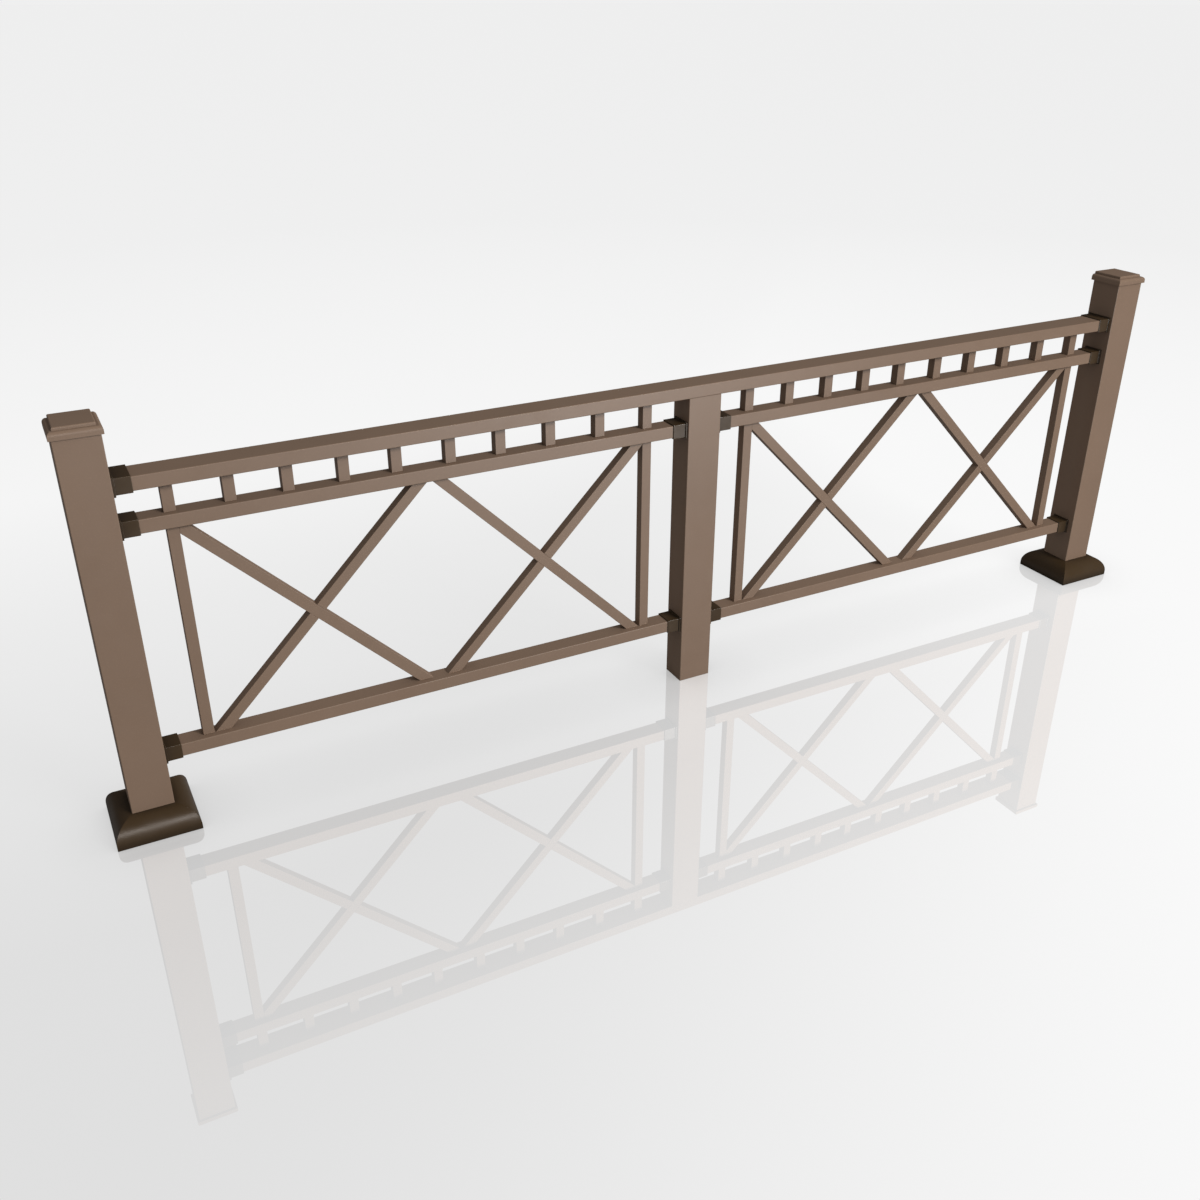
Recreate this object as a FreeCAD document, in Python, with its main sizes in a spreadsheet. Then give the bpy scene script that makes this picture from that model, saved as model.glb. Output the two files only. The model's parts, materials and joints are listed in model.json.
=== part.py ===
import FreeCAD, Part
import math
import os

import Sketcher
from FreeCAD import Placement, Rotation, Vector

# Deck railing section: two bays of open frame between two capped end posts, carried at the middle by a post.
# Lengths are millimetres. The origin is on the deck under the middle of the support post.
# X runs along the rails, Y to the back and Z up.

SIZES = (
    ("bay_length", 1574.8, "post centre to post centre along one bay"),
    ("post_width", 101.6, "outside of the square end posts, and width of the support post"),
    ("post_wall", 3.0, "wall of the post tubes"),
    ("support_depth", 81.6, "support post from front to back"),
    ("foot_thickness", 6.0, "end plate closing the foot of the support post"),
    ("tube_radius", 2.0, "outside corner radius of posts and rails"),
    ("rail_height", 34.4, "all rails, bottom to top"),
    ("rail_wall", 2.5, "wall of the rail tubes"),
    ("top_rail_depth", 76.2, "top rail from front to back"),
    ("bay_rail_depth", 52.0, "middle and bottom rails from front to back"),
    ("top_rail_top", 917.4, "top of the top rail above the deck"),
    ("post_rise", 123.6, "end post tubes above the top of the top rail"),
    ("band_drop", 108.0, "top of the middle rails below the top of the top rail"),
    ("bottom_rail_top", 207.5, "top of the bottom rails above the deck"),
    ("bar_size", 27.5, "square pickets and braces"),
    ("bar_wall", 2.0, "wall of the picket and brace tubes"),
    ("bar_setback", 4.8, "middle plane of pickets and braces behind the middle of the rails"),
    ("end_gap", 100.0, "clear gap between a post and the nearest picket"),
    ("shift_two", 1.7, "second band picket left of an even spacing"),
    ("shift_three", 3.9, "third band picket left of an even spacing"),
    ("shift_four", 7.0, "fourth band picket left of an even spacing"),
    ("shift_five", 13.0, "fifth band picket left of an even spacing"),
    ("shift_six", 10.7, "sixth band picket left of an even spacing"),
    ("shift_seven", 13.3, "seventh band picket left of an even spacing"),
    ("shift_eight", 11.3, "eighth band picket left of an even spacing"),
    ("shift_nine", 5.5, "ninth band picket left of an even spacing"),
    ("cross_gap", 9.0, "gap between the two crosses of a bay"),
    ("left_fall_shift", 23.0, "falling brace of the left cross left of the corners"),
    ("left_rise_shift", 2.5, "rising brace of the left cross right of the corners"),
    ("right_fall_shift", 4.0, "falling brace of the right cross left of the corners"),
    ("right_rise_shift", 9.1, "rising brace of the right cross right of the corners"),
    ("bracket_length", 42.0, "rail bracket out from the post"),
    ("bracket_wall", 3.0, "sleeve of the bracket around the rail"),
    ("flange_thickness", 5.0, "bracket flange against the post"),
    ("flange_lip", 3.5, "bracket flange beyond the sleeve"),
    ("slip_fit", 0.2, "gap between a sleeve, cap or cover and what it slides over"),
    ("plate_side", 170.0, "square base plate under an end post"),
    ("plate_thickness", 10.0, "base plate"),
    ("bolt_spacing", 134.0, "anchor holes, centre to centre both ways"),
    ("bolt_hole", 12.0, "anchor hole diameter"),
    ("cover_side", 202.8, "square base cover on the deck"),
    ("cover_lip", 12.6, "upright lip of the base cover"),
    ("cover_wall", 3.0, "base cover shell"),
    ("cap_seat", 14.0, "depth of the cap's socket over the post"),
    ("cap_overhang", 5.6, "cap lip beyond the post"),
    ("cap_lip", 9.0, "upright lip of the cap"),
    ("cap_height", 25.7, "cap from lip underside to crown"),
    ("cap_step", 18.3, "height of the step under the crown"),
    ("cap_ledge", 4.8, "width of the step under the crown"),
    ("cap_inset", 6.4, "side of the crown inside the post face"),
    ("ovolo_radius", 9.6, "rounded moulding of the cap"),
    ("crown_radius", 3.0, "rounded edge of the crown"),
)

POST_TOP = "(Sizes.top_rail_top + Sizes.post_rise)"
MID_TOP = "(Sizes.top_rail_top - Sizes.band_drop)"
MID_UNDER = f"({MID_TOP} - Sizes.rail_height)"
TOP_UNDER = "(Sizes.top_rail_top - Sizes.rail_height)"
PANEL_LOW = "Sizes.bottom_rail_top"
PANEL_HEIGHT = f"({MID_UNDER} - {PANEL_LOW})"
PANEL_MID = f"(({MID_UNDER} + {PANEL_LOW}) / 2)"
POST_HALF = "(Sizes.post_width / 2)"
RAIL_START = f"({POST_HALF} + Sizes.flange_thickness)"
FIRST_PICKET = f"({POST_HALF} + Sizes.end_gap + Sizes.bar_size / 2)"
LAST_PICKET = f"(Sizes.bay_length - {FIRST_PICKET})"
LEFT_STOP = f"({FIRST_PICKET} + Sizes.bar_size / 2)"
RIGHT_STOP = f"(Sizes.bay_length - {LEFT_STOP})"

# A brace fills a box from corner to corner: BAR_CUT is half its width along a rail, LEAN its run per rise.
BOX_WIDTH = f"((Sizes.bay_length - 2 * {LEFT_STOP} - Sizes.cross_gap) / 2)"
BRACE_LENGTH = f"sqrt({PANEL_HEIGHT}^2 + {BOX_WIDTH}^2 - Sizes.bar_size^2)"
BAR_CUT = (f"(Sizes.bar_size * ({PANEL_HEIGHT} * {BRACE_LENGTH} - Sizes.bar_size * {BOX_WIDTH})"
           f" / (2 * ({PANEL_HEIGHT}^2 - Sizes.bar_size^2)))")
BORE_CUT = f"({BAR_CUT} * (1 - 2 * Sizes.bar_wall / Sizes.bar_size))"
LEAN = f"(({BOX_WIDTH} - 2 * {BAR_CUT}) / {PANEL_HEIGHT})"

NUMBERS = ("one", "two", "three", "four", "five", "six", "seven", "eight", "nine", "ten")
BAYS = (("left", "-Sizes.bay_length"), ("right", "0"))
ENDS = (("left", "-Sizes.bay_length"), ("right", "Sizes.bay_length"))
LEVELS = (("mid", MID_TOP), ("bottom", "Sizes.bottom_rail_top"))

doc = FreeCAD.newDocument("deck_railing_section")
sheet = doc.addObject("Spreadsheet::Sheet", "Sizes")
nodes = []


def fill_sheet():
    for row, (alias, value, note) in enumerate(SIZES, start=1):
        sheet.set(f"A{row}", alias)
        sheet.set(f"B{row}", str(value))
        sheet.setAlias(f"B{row}", alias)
        sheet.set(f"C{row}", note)
    doc.recompute()


def amount(text):
    """Present value of an expression over the sheet."""
    return float(sheet.evalExpression(text))


def new_body(label):
    body = doc.addObject("PartDesign::Body", label)
    body.Label = label
    return body


def place(part, x="0", y="0", z="0", turn=0.0):
    part.Placement = Placement(Vector(), Rotation(Vector(0, 0, 1), turn))
    for axis, text in (("x", x), ("y", y), ("z", z)):
        part.setExpression(f"Placement.Base.{axis}", text)


def sketch_on(body, role):
    plane = next(item for item in body.Origin.OriginFeatures if item.Role == role)
    sketch = body.newObject("Sketcher::SketchObject", f"{body.Name}_sketch")
    sketch.AttachmentSupport = (plane, [""])
    sketch.MapMode = "FlatFace"
    return sketch


def bind(sketch, constraint, name, text):
    """Add a named dimension that follows the sheet."""
    index = sketch.addConstraint(constraint)
    sketch.renameConstraint(index, name)
    sketch.setExpression(f"Constraints.{name}", text)


def close_loop(sketch, first, count):
    for step in range(count):
        after = first + (step + 1) % count
        sketch.addConstraint(Sketcher.Constraint("Coincident", first + step, 2, after, 1))


def draw_rectangle(sketch, width, height):
    """Rectangle centred on the sketch origin."""
    half_x = amount(width) / 2
    half_y = amount(height) / 2
    corners = [Vector(x * half_x, y * half_y) for x, y in ((-1, -1), (1, -1), (1, 1), (-1, 1))]
    for start, end in zip(corners, corners[1:] + corners[:1]):
        sketch.addGeometry(Part.LineSegment(start, end))
    close_loop(sketch, 0, 4)
    for side in (0, 2):
        sketch.addConstraint(Sketcher.Constraint("Horizontal", side))
        sketch.addConstraint(Sketcher.Constraint("Vertical", side + 1))
    sketch.addConstraint(Sketcher.Constraint("Symmetric", 0, 1, 1, 2, -1, 1))
    bind(sketch, Sketcher.Constraint("DistanceX", 0, 1, 0, 2, 2 * half_x), "width", width)
    bind(sketch, Sketcher.Constraint("DistanceY", 1, 1, 1, 2, 2 * half_y), "height", height)


def draw_polygon(sketch, points):
    """Closed outline through points given as pairs of expressions."""
    spots = [Vector(amount(x), amount(y)) for x, y in points]
    for start, end in zip(spots, spots[1:] + spots[:1]):
        sketch.addGeometry(Part.LineSegment(start, end))
    close_loop(sketch, 0, len(spots))
    for index, (x, y) in enumerate(points):
        spot = spots[index]
        bind(sketch, Sketcher.Constraint("DistanceX", -1, 1, index, 1, spot.x), f"across_{index}", x)
        bind(sketch, Sketcher.Constraint("DistanceY", -1, 1, index, 1, spot.y), f"up_{index}", y)


def pad(body, sketch, length, symmetric=False):
    feature = body.newObject("PartDesign::Pad", f"{body.Name}_pad")
    feature.Profile = sketch
    feature.SideType = "Symmetric" if symmetric else "One side"
    feature.setExpression("Length", length)
    return feature


def pocket_through(body, sketch):
    feature = body.newObject("PartDesign::Pocket", f"{body.Name}_pocket")
    feature.Profile = sketch
    feature.SideType = "Symmetric"
    feature.Type = "ThroughAll"
    return feature


def pocket(body, sketch, length, symmetric=False, reverse=False):
    feature = body.newObject("PartDesign::Pocket", f"{body.Name}_pocket")
    feature.Profile = sketch
    feature.SideType = "Symmetric" if symmetric else "One side"
    feature.Reversed = reverse
    feature.setExpression("Length", length)
    return feature


def long_edges(feature, direction):
    """Names of the straight edges of a feature that run along a direction."""
    names = []
    for index, edge in enumerate(feature.Shape.Edges, start=1):
        run = edge.Vertexes[-1].Point - edge.Vertexes[0].Point
        if run.Length > 0 and abs(run.normalize().dot(direction)) > 0.999:
            names.append(f"Edge{index}")
    return names


def tube(label, role, width, height, length, wall, rounded=True):
    """Rectangular tube drawn on an origin plane and drawn out along its normal."""
    body = new_body(label)
    outline = sketch_on(body, role)
    draw_rectangle(outline, width, height)
    solid = pad(body, outline, length)
    if rounded:
        doc.recompute()
        along = Vector(1, 0, 0) if role == "YZ_Plane" else Vector(0, 0, 1)
        soft = body.newObject("PartDesign::Fillet", f"{body.Name}_edges")
        soft.Base = (solid, long_edges(solid, along))
        soft.setExpression("Radius", "Sizes.tube_radius")
    bore = sketch_on(body, role)
    draw_rectangle(bore, f"{width} - 2 * {wall}", f"{height} - 2 * {wall}")
    pocket_through(body, bore)
    return body


def keep(part, label):
    part.Label = label
    nodes.append(part)
    return part


def end_posts():
    for side, x in ENDS:
        post = tube(f"{side}_end_post", "XY_Plane", "Sizes.post_width", "Sizes.post_width",
                    f"{POST_TOP} - Sizes.plate_thickness", "Sizes.post_wall")
        place(post, x=x, z="Sizes.plate_thickness")
        keep(post, f"{side}_end_post")


def support_post():
    back = "(Sizes.support_depth - Sizes.top_rail_depth) / 2"
    post = tube("support_post", "XY_Plane", "Sizes.post_width", "Sizes.support_depth",
                f"{TOP_UNDER} - Sizes.foot_thickness", "Sizes.post_wall")
    place(post, y=back, z="Sizes.foot_thickness")
    keep(post, "support_post")
    foot = new_body("support_post_foot")
    outline = sketch_on(foot, "XY_Plane")
    draw_rectangle(outline, "Sizes.post_width", "Sizes.support_depth")
    solid = pad(foot, outline, "Sizes.foot_thickness")
    doc.recompute()
    soft = foot.newObject("PartDesign::Fillet", "support_post_foot_edges")
    soft.Base = (solid, long_edges(solid, Vector(0, 0, 1)))
    soft.setExpression("Radius", "Sizes.tube_radius")
    place(foot, y=back)
    keep(foot, "support_post_foot")


def rails():
    span = f"2 * Sizes.bay_length - 2 * {RAIL_START}"
    rail = tube("top_rail", "YZ_Plane", "Sizes.top_rail_depth", "Sizes.rail_height", span, "Sizes.rail_wall")
    place(rail, x=f"{RAIL_START} - Sizes.bay_length", z="Sizes.top_rail_top - Sizes.rail_height / 2")
    keep(rail, "top_rail")
    for bay, x in BAYS:
        for level, top in LEVELS:
            rail = tube(f"{bay}_{level}_rail", "YZ_Plane", "Sizes.bay_rail_depth", "Sizes.rail_height",
                        f"Sizes.bay_length - 2 * {RAIL_START}", "Sizes.rail_wall")
            place(rail, x=f"{x} + {RAIL_START}", z=f"{top} - Sizes.rail_height / 2")
            keep(rail, f"{bay}_{level}_rail")


def bracket(label, depth, x, top, turn):
    """Socket for a rail end, with a flange against the post."""
    body = new_body(label)
    flange = sketch_on(body, "YZ_Plane")
    rim = "2 * (Sizes.bracket_wall + Sizes.flange_lip)"
    draw_rectangle(flange, f"{depth} + {rim}", f"Sizes.rail_height + {rim}")
    pad(body, flange, "Sizes.flange_thickness")
    sleeve = sketch_on(body, "YZ_Plane")
    draw_rectangle(sleeve, f"{depth} + 2 * Sizes.bracket_wall", "Sizes.rail_height + 2 * Sizes.bracket_wall")
    pad(body, sleeve, "Sizes.bracket_length")
    socket = sketch_on(body, "YZ_Plane")
    draw_rectangle(socket, f"{depth} + 2 * Sizes.slip_fit", "Sizes.rail_height + 2 * Sizes.slip_fit")
    socket.AttachmentOffset = Placement(Vector(0, 0, 1), Rotation())
    socket.setExpression("AttachmentOffset.Base.z", "Sizes.flange_thickness")
    pocket(body, socket, "Sizes.bracket_length", reverse=True)
    place(body, x=x, z=f"{top} - Sizes.rail_height / 2", turn=turn)
    keep(body, label)


def brackets():
    inner = f"(Sizes.bay_length - {POST_HALF})"
    bracket("left_top_bracket", "Sizes.top_rail_depth", f"-{inner}", "Sizes.top_rail_top", 0.0)
    bracket("right_top_bracket", "Sizes.top_rail_depth", inner, "Sizes.top_rail_top", 180.0)
    for level, top in LEVELS:
        depth = "Sizes.bay_rail_depth"
        bracket(f"left_{level}_bracket_at_end", depth, f"-{inner}", top, 0.0)
        bracket(f"left_{level}_bracket_at_support", depth, f"-{POST_HALF}", top, 180.0)
        bracket(f"right_{level}_bracket_at_support", depth, POST_HALF, top, 0.0)
        bracket(f"right_{level}_bracket_at_end", depth, inner, top, 180.0)


def band_place(step):
    """Distance of a band picket from the centre of the bay's left post."""
    last = len(NUMBERS) - 1
    even = f"{FIRST_PICKET} + ({LAST_PICKET} - {FIRST_PICKET}) * {step} / {last}"
    return f"{even} - Sizes.shift_{NUMBERS[step]}" if 0 < step < last else even


def picket(label, x, low, high):
    bar = tube(label, "XY_Plane", "Sizes.bar_size", "Sizes.bar_size", f"{high} - {low}", "Sizes.bar_wall",
               rounded=False)
    place(bar, x=x, y="Sizes.bar_setback", z=low)
    return bar


def pickets():
    for bay, x in BAYS:
        group = doc.addObject("Part::Compound", f"{bay}_band_pickets")
        group.Links = [
            picket(f"{bay}_band_picket_{name}", f"{x} + {band_place(step)}", MID_TOP, TOP_UNDER)
            for step, name in enumerate(NUMBERS)
        ]
        keep(group, f"{bay}_band_pickets")
        for side, spot in (("left", FIRST_PICKET), ("right", LAST_PICKET)):
            label = f"{bay}_bay_{side}_picket"
            keep(picket(label, f"{x} + {spot}", PANEL_LOW, MID_UNDER), label)


def brace(label, x, outline, middle, lean):
    """Length of square tube on the slant, cut to an outline and hollow along its length."""
    body = new_body(label)
    shape = sketch_on(body, "XZ_Plane")
    draw_polygon(shape, outline)
    pad(body, shape, "Sizes.bar_size", symmetric=True)
    bore = sketch_on(body, "XZ_Plane")
    reach = f"({PANEL_HEIGHT} / 2 + Sizes.bar_size)"
    low = f"({middle} - {lean} * {reach})"
    high = f"({middle} + {lean} * {reach})"
    bottom = f"{PANEL_MID} - {reach}"
    top = f"{PANEL_MID} + {reach}"
    draw_polygon(bore, ((f"{low} - {BORE_CUT}", bottom), (f"{low} + {BORE_CUT}", bottom),
                        (f"{high} + {BORE_CUT}", top), (f"{high} - {BORE_CUT}", top)))
    pocket(body, bore, "Sizes.bar_size - 2 * Sizes.bar_wall", symmetric=True)
    place(body, x=x, y="Sizes.bar_setback")
    return body


def cross(name, x, left, side):
    """Two braces in a box: the falling one runs through, the rising one is cut where they meet.

    The brace whose upper end leans on the bay's tall picket is trimmed by it.
    """
    right = f"({left} + {BOX_WIDTH})"
    back = f"Sizes.{side}_fall_shift"
    ahead = f"Sizes.{side}_rise_shift"
    fall = f"(({left} + {right}) / 2 - {back})"
    rise = f"(({left} + {right}) / 2 + {ahead})"
    across = f"(({fall} + {rise}) / 2)"
    height = f"({PANEL_MID} - ({back} + {ahead}) / (2 * {LEAN}))"
    falling = [
        (f"{left} + 2 * {BAR_CUT} - {back}", MID_UNDER),
        (f"{right} - {back}", PANEL_LOW),
        (f"{right} - 2 * {BAR_CUT} - {back}", PANEL_LOW),
    ]
    lower = (
        (f"{left} + 2 * {BAR_CUT} + {ahead}", PANEL_LOW),
        (across, f"{height} - {BAR_CUT} / {LEAN}"),
        (f"{across} - {BAR_CUT}", height),
        (f"{left} + {ahead}", PANEL_LOW),
    )
    upper = [
        (f"{right} - 2 * {BAR_CUT} + {ahead}", MID_UNDER),
        (across, f"{height} + {BAR_CUT} / {LEAN}"),
        (f"{across} + {BAR_CUT}", height),
    ]
    if side == "left":
        falling += [(left, f"{MID_UNDER} - {back} / {LEAN}"), (left, MID_UNDER)]
        upper.append((f"{right} + {ahead}", MID_UNDER))
    else:
        falling.append((f"{left} - {back}", MID_UNDER))
        upper += [(right, f"{MID_UNDER} - {ahead} / {LEAN}"), (right, MID_UNDER)]
    keep(brace(f"{name}_falling_brace", x, falling, fall, f"-{LEAN}"), f"{name}_falling_brace")
    halves = doc.addObject("Part::Compound", f"{name}_rising_brace")
    halves.Links = [brace(f"{name}_rising_lower", x, lower, rise, LEAN),
                    brace(f"{name}_rising_upper", x, upper, rise, LEAN)]
    keep(halves, f"{name}_rising_brace")


def crosses():
    for bay, x in BAYS:
        cross(f"{bay}_bay_left", x, LEFT_STOP, "left")
        cross(f"{bay}_bay_right", x, f"({RIGHT_STOP} - {BOX_WIDTH})", "right")


def base_plates():
    for side, x in ENDS:
        body = new_body(f"{side}_base_plate")
        outline = sketch_on(body, "XY_Plane")
        draw_rectangle(outline, "Sizes.plate_side", "Sizes.plate_side")
        pad(body, outline, "Sizes.plate_thickness")
        holes = sketch_on(body, "XY_Plane")
        half = amount("Sizes.bolt_spacing / 2")
        radius = amount("Sizes.bolt_hole / 2")
        for sign_x, sign_y in ((1, 1), (-1, 1), (-1, -1), (1, -1)):
            holes.addGeometry(Part.Circle(Vector(sign_x * half, sign_y * half), Vector(0, 0, 1), radius))
        holes.addConstraint(Sketcher.Constraint("Symmetric", 0, 3, 1, 3, -2))
        holes.addConstraint(Sketcher.Constraint("Symmetric", 0, 3, 2, 3, -1, 1))
        holes.addConstraint(Sketcher.Constraint("Symmetric", 0, 3, 3, 3, -1))
        for other in (1, 2, 3):
            holes.addConstraint(Sketcher.Constraint("Equal", 0, other))
        bind(holes, Sketcher.Constraint("DistanceX", -1, 1, 0, 3, half), "across", "Sizes.bolt_spacing / 2")
        bind(holes, Sketcher.Constraint("DistanceY", -1, 1, 0, 3, half), "back", "Sizes.bolt_spacing / 2")
        bind(holes, Sketcher.Constraint("Diameter", 0, 2 * radius), "bore", "Sizes.bolt_hole")
        pocket_through(body, holes)
        place(body, x=x)
        keep(body, f"{side}_base_plate")


def profile(label, points, arcs):
    """Moulding outline, mirrored about the upright axis, standing in the XZ plane.

    points are the right half from the base up; arcs gives the radius of a rounded step by its first point.
    """
    sketch = doc.addObject("Sketcher::SketchObject", label)
    sketch.Placement = Placement(Vector(), Rotation(Vector(1, 0, 0), 90))
    right = [Vector(amount(x), amount(y)) for x, y in points]
    left = [Vector(-spot.x, spot.y) for spot in reversed(right)]
    loop = right + left
    count = len(right)
    for index in range(len(loop)):
        start = loop[index]
        end = loop[(index + 1) % len(loop)]
        key = index if index < count else 2 * count - 2 - index
        if key in arcs:
            chord = end - start
            radius = amount(arcs[key])
            rise = radius - math.sqrt(radius * radius - chord.Length ** 2 / 4)
            outward = Vector(chord.y, -chord.x).normalize()
            sketch.addGeometry(Part.ArcOfCircle(start, (start + end) * 0.5 + outward * rise, end))
        else:
            sketch.addGeometry(Part.LineSegment(start, end))
    close_loop(sketch, 0, len(loop))
    for index, (x, y) in enumerate(points):
        mirror = 2 * count - 1 - index
        sketch.addConstraint(Sketcher.Constraint("Symmetric", index, 1, mirror, 1, -2))
        bind(sketch, Sketcher.Constraint("DistanceX", -1, 1, index, 1, right[index].x), f"across_{index}", x)
        if index == 0:
            sketch.addConstraint(Sketcher.Constraint("PointOnObject", 0, 1, -1))
        else:
            bind(sketch, Sketcher.Constraint("DistanceY", -1, 1, index, 1, right[index].y), f"up_{index}", y)
    for key, radius in arcs.items():
        bind(sketch, Sketcher.Constraint("Radius", key, amount(radius)), f"round_{key}", radius)
        sketch.addConstraint(Sketcher.Constraint("Equal", key, 2 * count - 2 - key))
    return sketch


def mitred(label, sketch, side):
    """Moulding carried round a square: one profile drawn out along X and Y, with hips where they meet."""
    runs = []
    for name, turn in (("along_y", 0.0), ("along_x", 90.0)):
        run = doc.addObject("Part::Extrusion", f"{label}_{name}")
        run.Base = sketch
        run.DirMode = "Normal"
        run.Solid = True
        run.Symmetric = True
        run.setExpression("LengthFwd", side)
        run.Placement = Placement(Vector(), Rotation(Vector(0, 0, 1), turn))
        runs.append(run)
    both = doc.addObject("Part::MultiCommon", f"{label}_mitred")
    both.Shapes = runs
    return both


def block(label, side, height):
    """Square block centred on the upright axis, from the base up."""
    box = doc.addObject("Part::Box", label)
    box.setExpression("Length", side)
    box.setExpression("Width", side)
    box.setExpression("Height", height)
    place(box, x=f"-({side}) / 2", y=f"-({side}) / 2")
    return box


def cut(label, base, tool):
    feature = doc.addObject("Part::Cut", label)
    feature.Base = base
    feature.Tool = tool
    return feature


def base_covers():
    half = "(Sizes.cover_side / 2)"
    bull = f"({half} - {POST_HALF})"
    top = f"(Sizes.cover_lip + {bull})"
    inside = f"({half} - Sizes.cover_wall)"
    for side, x in ENDS:
        label = f"{side}_base_cover"
        outer = profile(f"{label}_outer_profile", (
            (half, "0"),
            (half, "Sizes.cover_lip"),
            (POST_HALF, top),
        ), {1: bull})
        inner = profile(f"{label}_inner_profile", (
            (inside, "0"),
            (inside, "Sizes.cover_lip"),
            (POST_HALF, f"{top} - Sizes.cover_wall"),
        ), {1: f"{bull} - Sizes.cover_wall"})
        shell = cut(f"{label}_shell", mitred(f"{label}_outer", outer, "Sizes.cover_side"),
                    mitred(f"{label}_inner", inner, f"2 * {inside}"))
        opening = block(f"{label}_opening", "Sizes.post_width + 2 * Sizes.slip_fit", f"2 * {top}")
        cover = cut(label, shell, opening)
        place(cover, x=x)
        keep(cover, label)


def caps():
    lip = f"{POST_HALF} + Sizes.cap_overhang"
    crown = f"{POST_HALF} - Sizes.cap_inset"
    for side, x in ENDS:
        label = f"{side}_post_cap"
        outline = profile(f"{label}_profile", (
            (lip, "0"),
            (lip, "Sizes.cap_lip"),
            (f"{crown} + Sizes.cap_ledge", "Sizes.cap_step"),
            (crown, "Sizes.cap_step"),
            (crown, "Sizes.cap_height - Sizes.crown_radius"),
            (f"{crown} - Sizes.crown_radius", "Sizes.cap_height"),
        ), {1: "Sizes.ovolo_radius", 4: "Sizes.crown_radius"})
        solid = mitred(label, outline, f"2 * ({lip})")
        socket = block(f"{label}_socket", "Sizes.post_width + 2 * Sizes.slip_fit", "Sizes.cap_seat")
        cap = cut(label, solid, socket)
        place(cap, x=x, z=f"{POST_TOP} - Sizes.cap_seat")
        keep(cap, label)


def write_parts():
    doc.recompute()
    for item in doc.Objects:
        if "Invalid" in item.State or "Error" in item.State:
            raise RuntimeError(f"{item.Label} did not build")
    os.makedirs("parts", exist_ok=True)
    for part in nodes:
        if part.Shape.isNull() or not part.Shape.isValid():
            raise RuntimeError(f"{part.Label} has no sound shape")
        part.Shape.exportStep(f"parts/{part.Label}.step")
        box = part.Shape.BoundBox
        print(part.Label, len(part.Shape.Solids), round(part.Shape.Volume / 1000, 1), "cm3",
              [round(v, 1) for v in (box.XMin, box.XMax, box.YMin, box.YMax, box.ZMin, box.ZMax)])


fill_sheet()
base_plates()
end_posts()
base_covers()
caps()
support_post()
rails()
brackets()
pickets()
crosses()
write_parts()
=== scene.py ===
"""Finishes, softened edges, fixings and studio for the deck railing section."""

import json
import logging
import math
from dataclasses import dataclass
from enum import Enum
from typing import Iterator

import bmesh
import bpy
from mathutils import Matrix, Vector

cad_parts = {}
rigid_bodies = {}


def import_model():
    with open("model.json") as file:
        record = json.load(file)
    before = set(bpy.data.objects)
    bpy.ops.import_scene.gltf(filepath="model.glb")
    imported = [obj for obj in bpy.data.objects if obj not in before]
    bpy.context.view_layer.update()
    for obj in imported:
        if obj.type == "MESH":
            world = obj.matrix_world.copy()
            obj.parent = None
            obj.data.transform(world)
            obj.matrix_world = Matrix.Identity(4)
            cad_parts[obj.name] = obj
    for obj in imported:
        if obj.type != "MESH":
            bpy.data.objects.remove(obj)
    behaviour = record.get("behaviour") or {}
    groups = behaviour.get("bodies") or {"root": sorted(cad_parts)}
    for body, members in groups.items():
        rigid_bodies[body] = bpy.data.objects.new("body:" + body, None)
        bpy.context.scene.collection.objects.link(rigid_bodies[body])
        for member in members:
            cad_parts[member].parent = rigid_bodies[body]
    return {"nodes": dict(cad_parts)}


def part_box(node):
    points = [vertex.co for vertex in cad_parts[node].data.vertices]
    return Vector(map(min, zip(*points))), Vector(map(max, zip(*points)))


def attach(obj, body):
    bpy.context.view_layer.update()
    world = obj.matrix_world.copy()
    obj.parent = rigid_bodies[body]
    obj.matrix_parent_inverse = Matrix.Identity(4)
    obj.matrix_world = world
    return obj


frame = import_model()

LOG = logging.getLogger("deck_railing")
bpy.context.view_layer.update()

Colour = tuple[float, float, float, float]
Point = tuple[float, float, float]


class Side(Enum):
    """Left or right, as the railing is seen from the front."""

    LEFT = "left"
    RIGHT = "right"


class RailLevel(Enum):
    """The two rails that each bay has of its own."""

    MID = "mid"
    BOTTOM = "bottom"


class RailEnd(Enum):
    """The post that a bay rail's bracket is fixed to."""

    END = "end"
    SUPPORT = "support"


class Slot(Enum):
    """The record's material slots."""

    BRONZE = "bronze"
    DARK_BRONZE = "dark_bronze"
    MILL_PLATE = "mill_plate"


class Bar(Enum):
    """The upright and slanting bars that stand in each half of a bay."""

    PICKET = "picket"
    FALLING = "falling_brace"
    RISING = "rising_brace"


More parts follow.
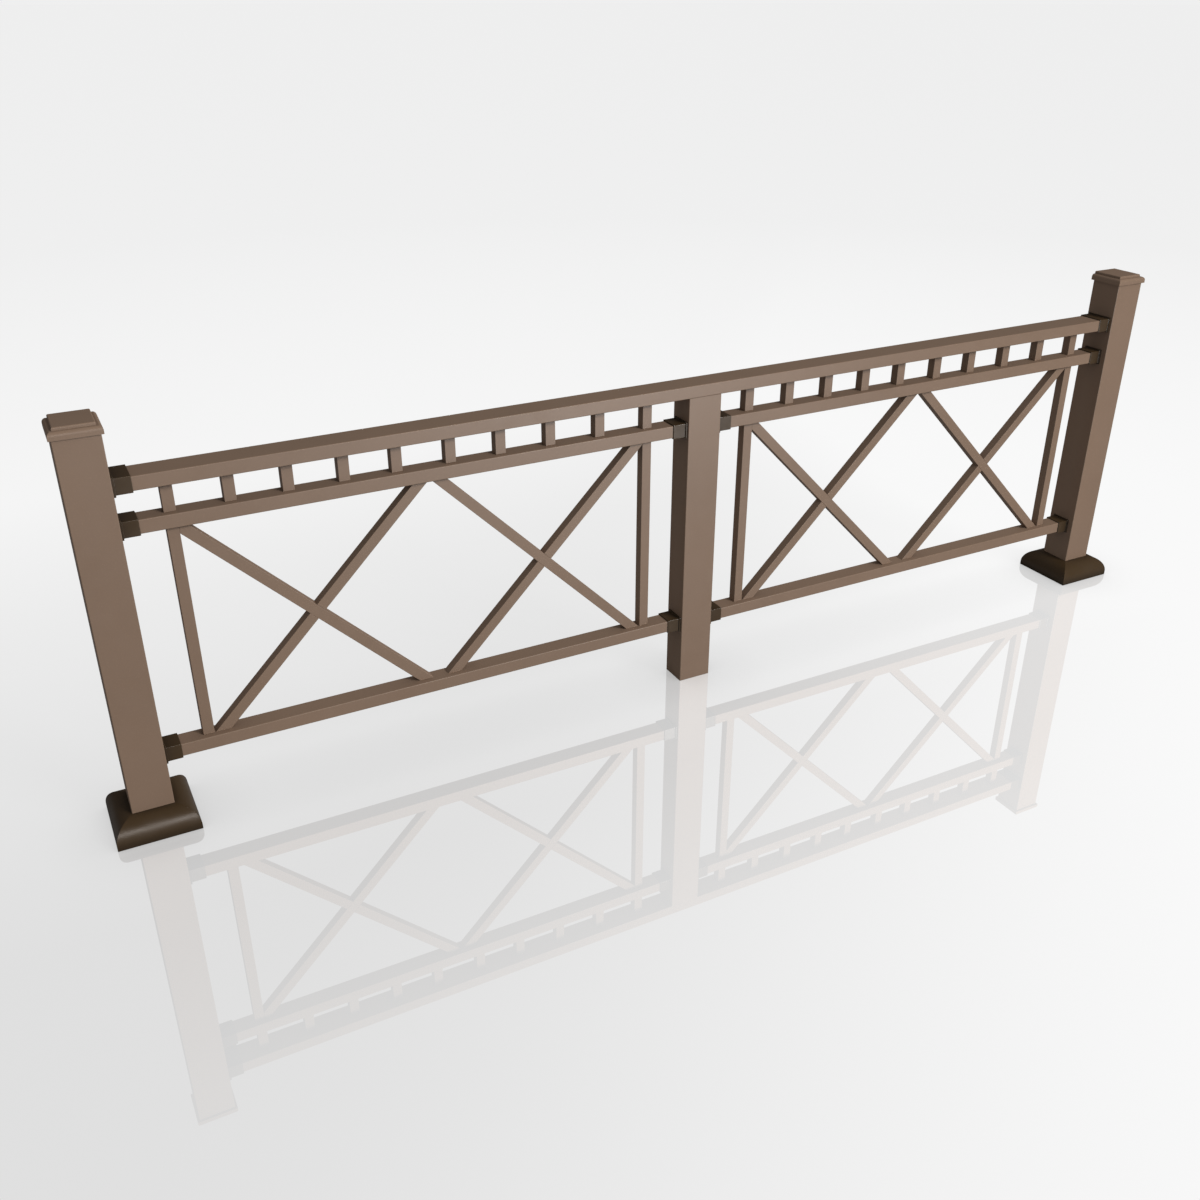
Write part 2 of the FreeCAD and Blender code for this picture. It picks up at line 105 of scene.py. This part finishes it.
class ShaderSheet:
    """The node tree of a material or of the room, filled in node by node."""

    def __init__(self, holder: bpy.types.Material | bpy.types.World) -> None:
        """Start an empty node tree.

        Args:
            holder: the material or the world that the tree belongs to.
        """
        self.holder = holder
        holder.use_nodes = True
        self.tree = holder.node_tree
        self.tree.nodes.clear()

    def add(self, kind: str, sockets: dict, **settings: object) -> bpy.types.Node:
        """Add one node and fill its inputs.

        Args:
            kind: Blender's name of the node type.
            sockets: input name or number to a value, or to the output that is linked to it.
            settings: the node's own properties.

        Returns:
            The new node.
        """
        node = self.tree.nodes.new(kind)
        for name, value in settings.items():
            setattr(node, name, value)
        for name, value in sockets.items():
            if isinstance(value, bpy.types.NodeSocket):
                self.tree.links.new(value, node.inputs[name])
            else:
                node.inputs[name].default_value = value
        return node

    def place(self) -> bpy.types.NodeSocket:
        """Return the Object coordinates, which are the shared frame in metres."""
        return self.add("ShaderNodeTexCoord", {}).outputs["Object"]

    def noise(self, place: bpy.types.NodeSocket, scale: float, detail: float) -> bpy.types.NodeSocket:
        """Add a cloud of noise.

        Args:
            place: the coordinates that it is read at.
            scale: clouds in a metre.
            detail: octaves of finer clouds.

        Returns:
            The noise's value, from 0 to 1.
        """
        sockets = {"Vector": place, "Scale": scale, "Detail": detail, "Roughness": 0.55}
        return self.add("ShaderNodeTexNoise", sockets).outputs["Fac"]

    def span(
        self, value: bpy.types.NodeSocket, start: tuple[float, float], end: tuple[float, float]
    ) -> bpy.types.NodeSocket:
        """Carry a value from one range to another.

        Args:
            value: the value to carry over, held within the first range.
            start: the range that it comes in.
            end: the range that it goes out in.

        Returns:
            The value in the second range.
        """
        sockets = {"Value": value, 1: start[0], 2: start[1], 3: end[0], 4: end[1]}
        return self.add("ShaderNodeMapRange", sockets).outputs["Result"]

    def math(self, operation: str, *values: bpy.types.NodeSocket | float) -> bpy.types.NodeSocket:
        """Return what Blender's named operation makes of the values."""
        return self.add("ShaderNodeMath", dict(enumerate(values)), operation=operation).outputs[0]

    def between(
        self,
        share: bpy.types.NodeSocket,
        first: bpy.types.NodeSocket | float,
        second: bpy.types.NodeSocket | float,
    ) -> bpy.types.NodeSocket:
        """Mix two values.

        Args:
            share: how much of the second value is in it.
            first: the value at a share of 0.
            second: the value at a share of 1.

        Returns:
            The mixed value.
        """
        return self.add("ShaderNodeMix", {0: share, 2: first, 3: second}, data_type="FLOAT").outputs[0]

    def blend(
        self,
        share: bpy.types.NodeSocket,
        first: bpy.types.NodeSocket | Colour,
        second: bpy.types.NodeSocket | Colour,
    ) -> bpy.types.NodeSocket:
        """Mix two colours.

        Args:
            share: how much of the second colour shows.
            first: the colour at a share of 0.
            second: the colour at a share of 1.

        Returns:
            The mixed colour.
        """
        sockets = {0: share, 6: first, 7: second}
        return self.add("ShaderNodeMix", sockets, data_type="RGBA").outputs[2]

    def edges(self, radius: float) -> bpy.types.NodeSocket:
        """Find the outer and inner edges of a piece.

        Args:
            radius: how far from an edge its band reaches, in metres.

        Returns:
            1 at an edge, and 0 on flat faces.
        """
        rounded = self.add("ShaderNodeBevel", {"Radius": radius}, samples=6).outputs["Normal"]
        flat = self.add("ShaderNodeNewGeometry", {}).outputs["Normal"]
        likeness = self.add("ShaderNodeVectorMath", {0: rounded, 1: flat}, operation="DOT_PRODUCT")
        return self.span(likeness.outputs["Value"], (0.995, 0.80), (0.0, 1.0))

    def eye(self) -> bpy.types.NodeSocket:
        """Find the rays that the camera sees by, straight or through glass.

        Returns:
            1 on those rays, and 0 on all others.
        """
        path = self.add("ShaderNodeLightPath", {}).outputs
        return self.math("MAXIMUM", path["Is Camera Ray"], path["Is Transmission Ray"])

    def close(self, shader: bpy.types.NodeSocket) -> None:
        """Link the last shader to the output."""
        room = isinstance(self.holder, bpy.types.World)
        self.add("ShaderNodeOutputWorld" if room else "ShaderNodeOutputMaterial", {"Surface": shader})


def shaded(colour: Colour, factor: float) -> Colour:
    """Return a colour made lighter or darker by a factor."""
    return (colour[0] * factor, colour[1] * factor, colour[2] * factor, 1.0)


@dataclass(frozen=True)
class PowderCoat:
    """A satin powder coat, its edges lightened by rubbing and by a painted highlight, with painted shade in the
    corners.
    """

    name: str
    colour: Colour
    roughness: float
    gloss: float
    drift: float = 0.04
    fleck: float = 0.24
    # How much and how far the edges lighten: coat rubbed thin, together with a painted edge highlight.
    wear_and_edge_highlight: float = 0.30
    worn_and_highlight_lift: float = 1.55
    drifts_per_metre: float = 2.3
    flecks_per_metre: float = 260.0
    rubs_per_metre: float = 42.0
    clouds_per_metre: float = 17.0
    peel_per_metre: float = 340.0
    peel_depth: float = 0.00012
    edge_band: float = 0.0016
    # Painted shade: how dark the coat gets where ambient occlusion finds nearby surfaces, and how far it looks for
    # them.
    painted_corner_shade: float = 0.12
    painted_shade_reach: float = 0.04

    def material(self) -> bpy.types.Material:
        """Make the coat's material.

        Returns:
            A material with slow drift, fine flecks, edges lightened by rubbing and by a painted highlight, painted
            shade in the corners and orange peel.
        """
        made = bpy.data.materials.new(self.name)
        sheet = ShaderSheet(made)
        place = sheet.place()
        drift = sheet.span(sheet.noise(place, self.drifts_per_metre, 3.0), (0.32, 0.68), (0.0, 1.0))
        tone = sheet.blend(drift, shaded(self.colour, 1.0 - self.drift), shaded(self.colour, 1.0 + self.drift))
        fleck = sheet.noise(place, self.flecks_per_metre, 2.0)
        flecked = sheet.blend(
            sheet.span(fleck, (0.55, 0.72), (0.0, self.fleck)), tone, shaded(self.colour, 1.0 + self.fleck)
        )
        # Edges lighten where noise lets them: partly coat rubbed thin, partly a painted edge highlight.
        rubbed = sheet.span(sheet.noise(place, self.rubs_per_metre, 4.0), (0.38, 0.66), (0.15, 1.0))
        worn_and_highlight = sheet.math("MULTIPLY", sheet.math("MULTIPLY", sheet.edges(self.edge_band), rubbed), self.wear_and_edge_highlight)
        unshaded_colour = sheet.blend(worn_and_highlight, flecked, shaded(self.colour, self.worn_and_highlight_lift))
        # Painted shade: the colour darkens towards a third of the coat's own where other surfaces stand close, in
        # corners and against the floor.
        open_air = sheet.add("ShaderNodeAmbientOcclusion", {"Distance": self.painted_shade_reach}, samples=6).outputs["AO"]
        corner = sheet.span(open_air, (0.4, 0.95), (self.painted_corner_shade, 0.0))
        colour = sheet.blend(corner, unshaded_colour, shaded(self.colour, 0.3))
        cloud = sheet.noise(place, self.clouds_per_metre, 4.0)
        roughness = sheet.span(cloud, (0.3, 0.7), (self.roughness - 0.05, self.roughness + 0.06))
        peel = sheet.noise(place, self.peel_per_metre, 1.0)
        bump = sheet.add(
            "ShaderNodeBump", {"Strength": 0.35, "Distance": self.peel_depth, "Height": peel}
        ).outputs["Normal"]
        coat = sheet.add(
            "ShaderNodeBsdfPrincipled",
            {
                "Base Color": colour,
                "Roughness": roughness,
                "Specular IOR Level": self.gloss,
                "Normal": bump,
            },
        )
        sheet.close(coat.outputs["BSDF"])
        return made


@dataclass(frozen=True)
class MillMetal:
    """Bare metal as it left the mill: streaks along one way, dull patches and rubbed edges."""

    name: str
    colour: Colour
    roughness: float
    streaks: Point
    dullness: float = 0.22
    patches_per_metre: float = 38.0
    edge_band: float = 0.0008

    def material(self) -> bpy.types.Material:
        """Make the metal's material.

        Returns:
            A material with streaks, patches and bright edges.
        """
        made = bpy.data.materials.new(self.name)
        sheet = ShaderSheet(made)
        place = sheet.place()
        drawn = sheet.add("ShaderNodeMapping", {"Vector": place, "Scale": self.streaks}).outputs["Vector"]
        streak = sheet.noise(drawn, 1.0, 3.0)
        patch = sheet.noise(place, self.patches_per_metre, 4.0)
        dull = shaded(self.colour, 1.0 - self.dullness)
        tone = sheet.blend(sheet.span(patch, (0.35, 0.65), (0.0, 1.0)), self.colour, dull)
        lined = sheet.blend(sheet.span(streak, (0.4, 0.7), (0.0, 0.5)), tone, shaded(self.colour, 1.12))
        bright = sheet.blend(sheet.math("MULTIPLY", sheet.edges(self.edge_band), 0.5), lined, shaded(self.colour, 1.25))
        roughness = sheet.span(streak, (0.3, 0.7), (self.roughness - 0.08, self.roughness + 0.1))
        bump = sheet.add(
            "ShaderNodeBump", {"Strength": 0.3, "Distance": 0.0001, "Height": streak}
        ).outputs["Normal"]
        metal = sheet.add(
            "ShaderNodeBsdfPrincipled",
            {"Base Color": bright, "Metallic": 1.0, "Roughness": roughness, "Normal": bump},
        )
        sheet.close(metal.outputs["BSDF"])
        return made


class Finishes:
    """The materials of the railing, one for each slot of the record."""

    def __init__(self) -> None:
        """Make each finish once."""
        self.by_slot = {
            Slot.BRONZE: PowderCoat("bronze_coat", (0.226, 0.152, 0.106, 1.0), 0.48, 0.16).material(),
            # The dark coat has strong painted shade in its corners and against the floor.
            Slot.DARK_BRONZE: PowderCoat(
                "dark_bronze_coat", (0.056, 0.034, 0.016, 1.0), 0.35, 0.24, wear_and_edge_highlight=0.4, painted_corner_shade=0.85
            ).material(),
            Slot.MILL_PLATE: MillMetal("mill_plate", (0.62, 0.62, 0.63, 1.0), 0.42, (30.0, 700.0, 30.0)).material(),
        }

    def dress(self, piece: bpy.types.Object, slot: Slot) -> None:
        """Give a piece the finish of a slot, in place of any that it came with.

        Args:
            piece: the object that is dressed.
            slot: the record's slot that the finish belongs to.
        """
        if not piece.material_slots:
            piece.data.materials.append(None)
        for holder in piece.material_slots:
            holder.material = self.by_slot[slot]


@dataclass(frozen=True)
class SoftEdge:
    """The small radius that the dies leave along the corners of a tube or a bracket."""

    radius: float
    segments: int = 2
    turn: float = math.radians(40.0)

    def soften(self, piece: bpy.types.Object) -> None:
        """Join the loose triangles of a CAD node and round its corners, by modifiers.

        Args:
            piece: the CAD node's object, whose own mesh stays as it is.
        """
        weld = piece.modifiers.new("join", "WELD")
        weld.merge_threshold = 0.00001
        bevel = piece.modifiers.new("die_radius", "BEVEL")
        bevel.width = self.radius
        bevel.segments = self.segments
        bevel.limit_method = "ANGLE"
        bevel.angle_limit = self.turn
        bevel.harden_normals = True
        bevel.material = -1


class SubAssembly:
    """A group of pieces that are made and fitted together."""

    def __init__(self, finishes: Finishes) -> None:
        """Keep the finishes that the pieces are dressed in."""
        self.finishes = finishes

    def node(self, name: str, slot: Slot, edge: SoftEdge | None = None) -> bpy.types.Object:
        """Dress one CAD node.

        Args:
            name: the node's name in the frame.
            slot: the finish that it gets.
            edge: the radius along its corners, where the solid leaves them sharp.

        Returns:
            The node's object.
        """
        piece = frame["nodes"][name]
        self.finishes.dress(piece, slot)
        if edge is not None:
            edge.soften(piece)
        LOG.info("%s: %s", name, slot.value)
        return piece

    def piece(self, name: str, mesh: bmesh.types.BMesh, slot: Slot) -> bpy.types.Object:
        """Make a new piece from a finished mesh and let it ride on the frame.

        Args:
            name: the piece's name.
            mesh: its mesh, in place; it is freed here.
            slot: the finish that it gets.

        Returns:
            The new object, at the origin.
        """
        bmesh.ops.recalc_face_normals(mesh, faces=mesh.faces[:])
        data = bpy.data.meshes.new(name)
        mesh.to_mesh(data)
        mesh.free()
        data.set_sharp_from_angle(angle=math.radians(32.0))
        made = bpy.data.objects.new(name, data)
        bpy.context.scene.collection.objects.link(made)
        self.finishes.dress(made, slot)
        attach(made, "root")
        LOG.info("%s: %d faces", name, len(data.polygons))
        return made


def turned(outline: list[Point], steps: int) -> bmesh.types.BMesh:
    """Turn an outline round the upright axis through the origin.

    Args:
        outline: points in the plane y = 0, from one end to the other.
        steps: faces round the axis.

    Returns:
        The mesh of the turned shape.
    """
    mesh = bmesh.new()
    corners = [mesh.verts.new(point) for point in outline]
    sides = [mesh.edges.new(pair) for pair in zip(corners, corners[1:])]
    bmesh.ops.spin(
        mesh,
        geom=corners + sides,
        cent=(0.0, 0.0, 0.0),
        axis=(0.0, 0.0, 1.0),
        angle=math.tau,
        steps=steps,
        use_merge=True,
    )
    bmesh.ops.remove_doubles(mesh, verts=mesh.verts[:], dist=0.000001)
    return mesh


def put_in(whole: bmesh.types.BMesh, part: bmesh.types.BMesh) -> None:
    """Put a finished part into a larger mesh.

    Args:
        whole: the mesh that takes the part.
        part: the part's mesh, in place; it is freed here.
    """
    carrier = bpy.data.meshes.new("carrier")
    part.to_mesh(carrier)
    part.free()
    whole.from_mesh(carrier)
    bpy.data.meshes.remove(carrier)


@dataclass
class AnchorBolt:
    """A threaded stud that holds a base plate to the deck, with its washer and nut."""

    stud_diameter: float = 0.010
    stud_rise: float = 0.020
    thread_pitch: float = 0.0015
    washer_diameter: float = 0.021
    washer_thickness: float = 0.0020
    nut_flats: float = 0.016
    nut_height: float = 0.0084
    nut_ease: float = 0.0007
    stud_faces: int = 20
    washer_faces: int = 28

    def mesh(self, plate_bottom: float, plate_top: float) -> bmesh.types.BMesh:
        """Model one bolt on the upright axis through the origin.

        Args:
            plate_bottom: the height that the stud starts at.
            plate_top: the height that the washer lies on.

        Returns:
            The bolt's mesh.
        """
        bolt = turned(list(self._stud(plate_bottom, plate_top + self.stud_rise)), self.stud_faces)
        put_in(bolt, self._washer(plate_top))
        put_in(bolt, self._nut(plate_top + self.washer_thickness))
        return bolt

    def _stud(self, bottom: float, top: float) -> Iterator[Point]:
        """Give the stud's outline, a threaded rod with a chamfered top.

        Args:
            bottom: the height that the rod starts at.
            top: the height that it ends at.

        Yields:
            The outline's points, from the axis at the bottom to the axis at the top.
        """
        radius = self.stud_diameter / 2.0
        root = radius - self.thread_pitch * 0.55
        yield (0.0, 0.0, bottom)
        yield (root, 0.0, bottom)
        turns = int((top - bottom) / self.thread_pitch) - 1
        for turn in range(turns):
            crest = bottom + (turn + 0.5) * self.thread_pitch
            yield (radius, 0.0, crest)
            yield (root, 0.0, crest + self.thread_pitch * 0.5)
        yield (root * 0.92, 0.0, top)
        yield (0.0, 0.0, top)

    def _washer(self, bottom: float) -> bmesh.types.BMesh:
        """Model the washer, a flat ring with its edges eased.

        Args:
            bottom: the height that it lies on.

        Returns:
            The washer's mesh.
        """
        hole = self.stud_diameter * 0.53
        rim = self.washer_diameter / 2.0
        ease = self.washer_thickness * 0.2
        top = bottom + self.washer_thickness
        outline = [
            (hole, 0.0, bottom),
            (rim, 0.0, bottom),
            (rim, 0.0, top - ease),
            (rim - ease, 0.0, top),
            (hole, 0.0, top),
            (hole, 0.0, bottom),
        ]
        return turned(outline, self.washer_faces)

    def _nut(self, bottom: float) -> bmesh.types.BMesh:
        """Model the nut, a six-sided block with its corners eased.

        Args:
            bottom: the height that it lies on.

        Returns:
            The nut's mesh.
        """
        nut = bmesh.new()
        bmesh.ops.create_circle(nut, cap_ends=True, segments=6, radius=self.nut_flats / math.sqrt(3.0))
        base = nut.faces[:]
        raised = bmesh.ops.extrude_face_region(nut, geom=base)
        top = [item for item in raised["geom"] if isinstance(item, bmesh.types.BMVert)]
        bmesh.ops.translate(nut, verts=top, vec=(0.0, 0.0, self.nut_height))
        bmesh.ops.translate(nut, verts=nut.verts[:], vec=(0.0, 0.0, bottom))
        bmesh.ops.bevel(
            nut,
            geom=nut.edges[:],
            offset=self.nut_ease,
            offset_type="OFFSET",
            affect="EDGES",
            segments=2,
            profile=0.5,
            material=-1,
        )
        return nut


@dataclass
class EndPost:
    """An end post with its base plate, anchor bolts, base cover and cap."""

    side: Side
    bolt_inset: float = 0.018
    bolt_gap: float = 0.0005

    def dress(self, finishes: Finishes) -> None:
        """Finish the post's pieces and put the anchor bolts through the base plate.

        Args:
            finishes: the finishes that the pieces are dressed in.
        """
        group = SubAssembly(finishes)
        name = self.side.value
        group.node(f"{name}_base_plate", Slot.MILL_PLATE)
        group.node(f"{name}_end_post", Slot.BRONZE)
        group.node(f"{name}_base_cover", Slot.DARK_BRONZE)
        group.node(f"{name}_post_cap", Slot.BRONZE)
        group.piece(f"{name}_anchor_bolts", self._bolts(), Slot.MILL_PLATE)

    def _bolts(self) -> bmesh.types.BMesh:
        """Model the four bolts, one in from each corner of the plate.

        Returns:
            The bolts in one mesh, in place.
        """
        low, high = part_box(f"{self.side.value}_base_plate")
        bolts = bmesh.new()
        for x in (low.x + self.bolt_inset, high.x - self.bolt_inset):
            for y in (low.y + self.bolt_inset, high.y - self.bolt_inset):
                bolt = AnchorBolt().mesh(low.z + self.bolt_gap, high.z)
                bmesh.ops.translate(bolt, verts=bolt.verts[:], vec=(x, y, 0.0))
                put_in(bolts, bolt)
        return bolts


@dataclass
class SupportPost:
    """The post under the middle of the top rail, on its foot plate."""

    def dress(self, finishes: Finishes) -> None:
        """Finish the post and its foot.

        Args:
            finishes: the finishes that the pieces are dressed in.
        """
        group = SubAssembly(finishes)
        group.node("support_post", Slot.BRONZE)
        group.node("support_post_foot", Slot.BRONZE)


@dataclass
class TopRail:
    """The rail that runs from end post to end post, in its two brackets."""

    edge: SoftEdge = SoftEdge(0.0015, 3)

    def dress(self, finishes: Finishes) -> None:
        """Finish the rail and its brackets.

        Args:
            finishes: the finishes that the pieces are dressed in.
        """
        group = SubAssembly(finishes)
        group.node("top_rail", Slot.BRONZE)
        for side in Side:
            group.node(f"{side.value}_top_bracket", Slot.DARK_BRONZE, self.edge)


@dataclass
class Bay:
    """The fill between an end post and the support post."""

    side: Side
    bar_edge: SoftEdge = SoftEdge(0.0008)
    bracket_edge: SoftEdge = SoftEdge(0.0015, 3)

    def dress(self, finishes: Finishes) -> None:
        """Finish the rails, their brackets, the pickets and the crossed braces.

        Args:
            finishes: the finishes that the pieces are dressed in.
        """
        group = SubAssembly(finishes)
        name = self.side.value
        for level in RailLevel:
            group.node(f"{name}_{level.value}_rail", Slot.BRONZE)
            for end in RailEnd:
                group.node(f"{name}_{level.value}_bracket_at_{end.value}", Slot.DARK_BRONZE, self.bracket_edge)
        group.node(f"{name}_band_pickets", Slot.BRONZE, self.bar_edge)
        for half in Side:
            for bar in Bar:
                group.node(f"{name}_bay_{half.value}_{bar.value}", Slot.BRONZE, self.bar_edge)


class LampUse(Enum):
    """What a lamp gives, and to what."""

    LIGHT_ALL = "soft light on the railing and the floor"
    LIGHT_RAILING = "soft light on the railing"
    GLOSS_RAILING = "gloss on the railing"


@dataclass(frozen=True)
class FlatLamp:
    """A flat lamp that neither the camera nor the floor's mirror shows."""

    name: str
    place: Point
    target: Point
    size: tuple[float, float]
    power: float
    use: LampUse

    def hang(self, railing: bpy.types.Collection) -> None:
        """Hang the lamp at its place, turned to its target.

        Args:
            railing: the railing's pieces, for a lamp that lights nothing else.
        """
        data = bpy.data.lights.new(self.name, "AREA")
        data.shape = "RECTANGLE"
        data.size, data.size_y = self.size
        data.energy = self.power
        lamp = bpy.data.objects.new(self.name, data)
        bpy.context.scene.collection.objects.link(lamp)
        lamp.location = self.place
        aim = Vector(self.target) - Vector(self.place)
        lamp.rotation_euler = aim.to_track_quat("-Z", "Y").to_euler()
        lamp.visible_camera = False
        lamp.visible_diffuse = self.use is not LampUse.GLOSS_RAILING
        lamp.visible_glossy = self.use is LampUse.GLOSS_RAILING
        if self.use is not LampUse.LIGHT_ALL:
            lamp.light_linking.receiver_collection = railing
        LOG.info("%s: %s", self.name, self.use.value)


@dataclass
class Studio:
    """A pale glossy floor in a pale room, with its lamps and the camera."""

    floor_radius: float = 150.0
    floor_gap: float = 0.0002
    floor_grey: float = 0.34
    floor_lit: float = 0.06
    # Painted light and shade on the near floor: its lit and shaded tones, the slant between them and the lift behind
    # the railing.
    far_tone: float = 0.866
    lit_floor_tone: float = 0.93
    shaded_floor_tone: float = 0.73
    tone_slant: float = 0.9
    back_lift: float = 0.18
    mirror_steep: float = 0.21
    mirror_flat: float = 0.49
    mirror_tone: float = 0.42
    ambient: float = 0.36
    gloss_tone: float = 0.06
    lamps: tuple[FlatLamp, ...] = (
        FlatLamp("broad_lamp", (5.6, -11.06, 7.1), (0.0, 0.0, 0.53), (5.0, 4.0), 1600.0, LampUse.LIGHT_ALL),
        FlatLamp("back_fill", (4.0, 8.0, 0.8), (0.0, 0.0, 0.5), (6.0, 1.2), 480.0, LampUse.LIGHT_RAILING),
        FlatLamp("gloss_card", (0.7, -2.7, 0.95), (0.0, 0.0, 0.9), (1.2, 0.8), 240.0, LampUse.GLOSS_RAILING),
        FlatLamp("edge_strip", (-0.6, -3.6, 1.9), (-0.6, 0.0, 0.4), (5.0, 1.1), 180.0, LampUse.GLOSS_RAILING),
    )
    camera_place: Point = (-1.70575, -2.69594, 1.87632)
    camera_aim: Point = (0.4106, 0.7894, -0.4564)
    camera_lens: float = 36.0
    camera_sensor: float = 36.0

    def build(self) -> None:
        """Set up the lamps, the floor, the room and the camera."""
        railing = bpy.data.collections.new("railing")
        for thing in bpy.context.scene.objects:
            if thing.type == "MESH":
                railing.objects.link(thing)
        for lamp in self.lamps:
            lamp.hang(railing)
        self._floor()
        self._room()
        self._camera()
        bpy.context.scene.view_settings.view_transform = "Standard"

    def _floor(self) -> None:
        """Lay the floor: a disc that shades off to the room's tone and mirrors the railing faintly."""
        disc = bmesh.new()
        bmesh.ops.create_circle(disc, cap_ends=True, segments=96, radius=self.floor_radius)
        bmesh.ops.translate(disc, verts=disc.verts[:], vec=(0.0, 0.0, -self.floor_gap))
        data = bpy.data.meshes.new("floor")
        disc.to_mesh(data)
        disc.free()
        floor = bpy.data.objects.new("floor", data)
        bpy.context.scene.collection.objects.link(floor)
        data.materials.append(self._floor_material())

    def _floor_material(self) -> bpy.types.Material:
        """Make the floor's material.

        Returns:
            A material that is pale to the eye, with painted light and shade across it, a painted contact shadow round
            the railing, a mirror image, and plain grey to the light.
        """
        made = bpy.data.materials.new("studio_floor")
        made.cycles.emission_sampling = "NONE"
        sheet = ShaderSheet(made)
        place = sheet.place()
        axes = sheet.add("ShaderNodeSeparateXYZ", {0: place}).outputs
        # Painted light and shade: the near floor is darker to the left and lighter to the right, lifted behind the
        # railing, and far off it fades to the room's tone.
        slant = sheet.math("MULTIPLY_ADD", axes["Y"], -self.tone_slant, axes["X"])
        along = sheet.add(
            "ShaderNodeMapRange",
            {"Value": slant, 1: -1.0, 2: 2.2, 3: self.shaded_floor_tone, 4: self.lit_floor_tone},
            interpolation_type="SMOOTHSTEP",
        ).outputs["Result"]
        behind = sheet.span(axes["Y"], (-0.4, 2.4), (0.0, self.back_lift))
        near = sheet.math("MINIMUM", sheet.math("ADD", along, behind), self.lit_floor_tone)
        reach = sheet.add("ShaderNodeVectorMath", {0: place}, operation="LENGTH").outputs["Value"]
        tone = sheet.between(sheet.span(reach, (2.6, 8.0), (0.0, 1.0)), near, self.far_tone)
        facing = sheet.add("ShaderNodeLayerWeight", {"Blend": 0.5}).outputs["Facing"]
        image = sheet.span(facing, (0.27, 0.48), (self.mirror_steep, self.mirror_flat))
        lost = sheet.math("MULTIPLY_ADD", image, self.mirror_tone, 0.5 * self.floor_lit)
        plain = sheet.math("SUBTRACT", tone, lost)
        # Painted contact shadow: the floor's glow darkens by up to 30% where the railing stands close.
        crowd = sheet.add("ShaderNodeAmbientOcclusion", {"Distance": 0.22}, samples=12).outputs["AO"]
        shade = sheet.span(crowd, (0.35, 1.0), (0.70, 1.0))
        glow = sheet.add("ShaderNodeEmission", {"Color": sheet.math("MULTIPLY", plain, shade)}).outputs["Emission"]
        lit = sheet.add("ShaderNodeBsdfDiffuse", {"Color": (self.floor_lit,) * 3 + (1.0,)}).outputs["BSDF"]
        pale = sheet.add("ShaderNodeAddShader", {0: glow, 1: lit}).outputs[0]
        gloss = sheet.add("ShaderNodeBsdfGlossy", {"Color": image, "Roughness": 0.0}).outputs["BSDF"]
        shown = sheet.add("ShaderNodeAddShader", {0: pale, 1: gloss}).outputs[0]
        grey = sheet.add("ShaderNodeBsdfDiffuse", {"Color": (self.floor_grey,) * 3 + (1.0,)}).outputs["BSDF"]
        sheet.close(sheet.add("ShaderNodeMixShader", {0: sheet.eye(), 1: grey, 2: shown}).outputs[0])
        return made

    def _room(self) -> None:
        """Fill the room with an even light; the eye sees it pale, and gloss sees it in its own tone."""
        world = bpy.data.worlds.new("room")
        bpy.context.scene.world = world
        world.cycles.sampling_method = "NONE"
        sheet = ShaderSheet(world)
        path = sheet.add("ShaderNodeLightPath", {}).outputs
        gloss = sheet.span(path["Is Glossy Ray"], (0.0, 1.0), (self.ambient, self.gloss_tone))
        mirrored = sheet.math("MULTIPLY", path["Is Glossy Ray"], path["Is Singular Ray"])
        tone = sheet.between(sheet.eye(), sheet.between(mirrored, gloss, self.mirror_tone), self.far_tone)
        sheet.close(sheet.add("ShaderNodeBackground", {"Color": tone}).outputs[0])

    def _camera(self) -> None:
        """Stand the camera where the photograph was taken from."""
        data = bpy.data.cameras.new("camera")
        data.lens = self.camera_lens
        data.sensor_width = self.camera_sensor
        data.clip_end = 2.0 * self.floor_radius
        camera = bpy.data.objects.new("camera", data)
        bpy.context.scene.collection.objects.link(camera)
        camera.location = self.camera_place
        camera.rotation_euler = Vector(self.camera_aim).to_track_quat("-Z", "Y").to_euler()
        bpy.context.scene.camera = camera


def clear_room() -> None:
    """Take away the lamps and cameras that a new Blender file starts with."""
    for thing in list(bpy.context.scene.objects):
        if thing.type in {"LIGHT", "CAMERA"}:
            bpy.data.objects.remove(thing)


def main() -> None:
    """Dress the railing piece by piece and set up the studio."""
    logging.basicConfig(level=logging.INFO, format="%(message)s")
    clear_room()
    finishes = Finishes()
    for side in Side:
        EndPost(side).dress(finishes)
    SupportPost().dress(finishes)
    TopRail().dress(finishes)
    for side in Side:
        Bay(side).dress(finishes)
    Studio().build()


if __name__ == "__main__":
    main()
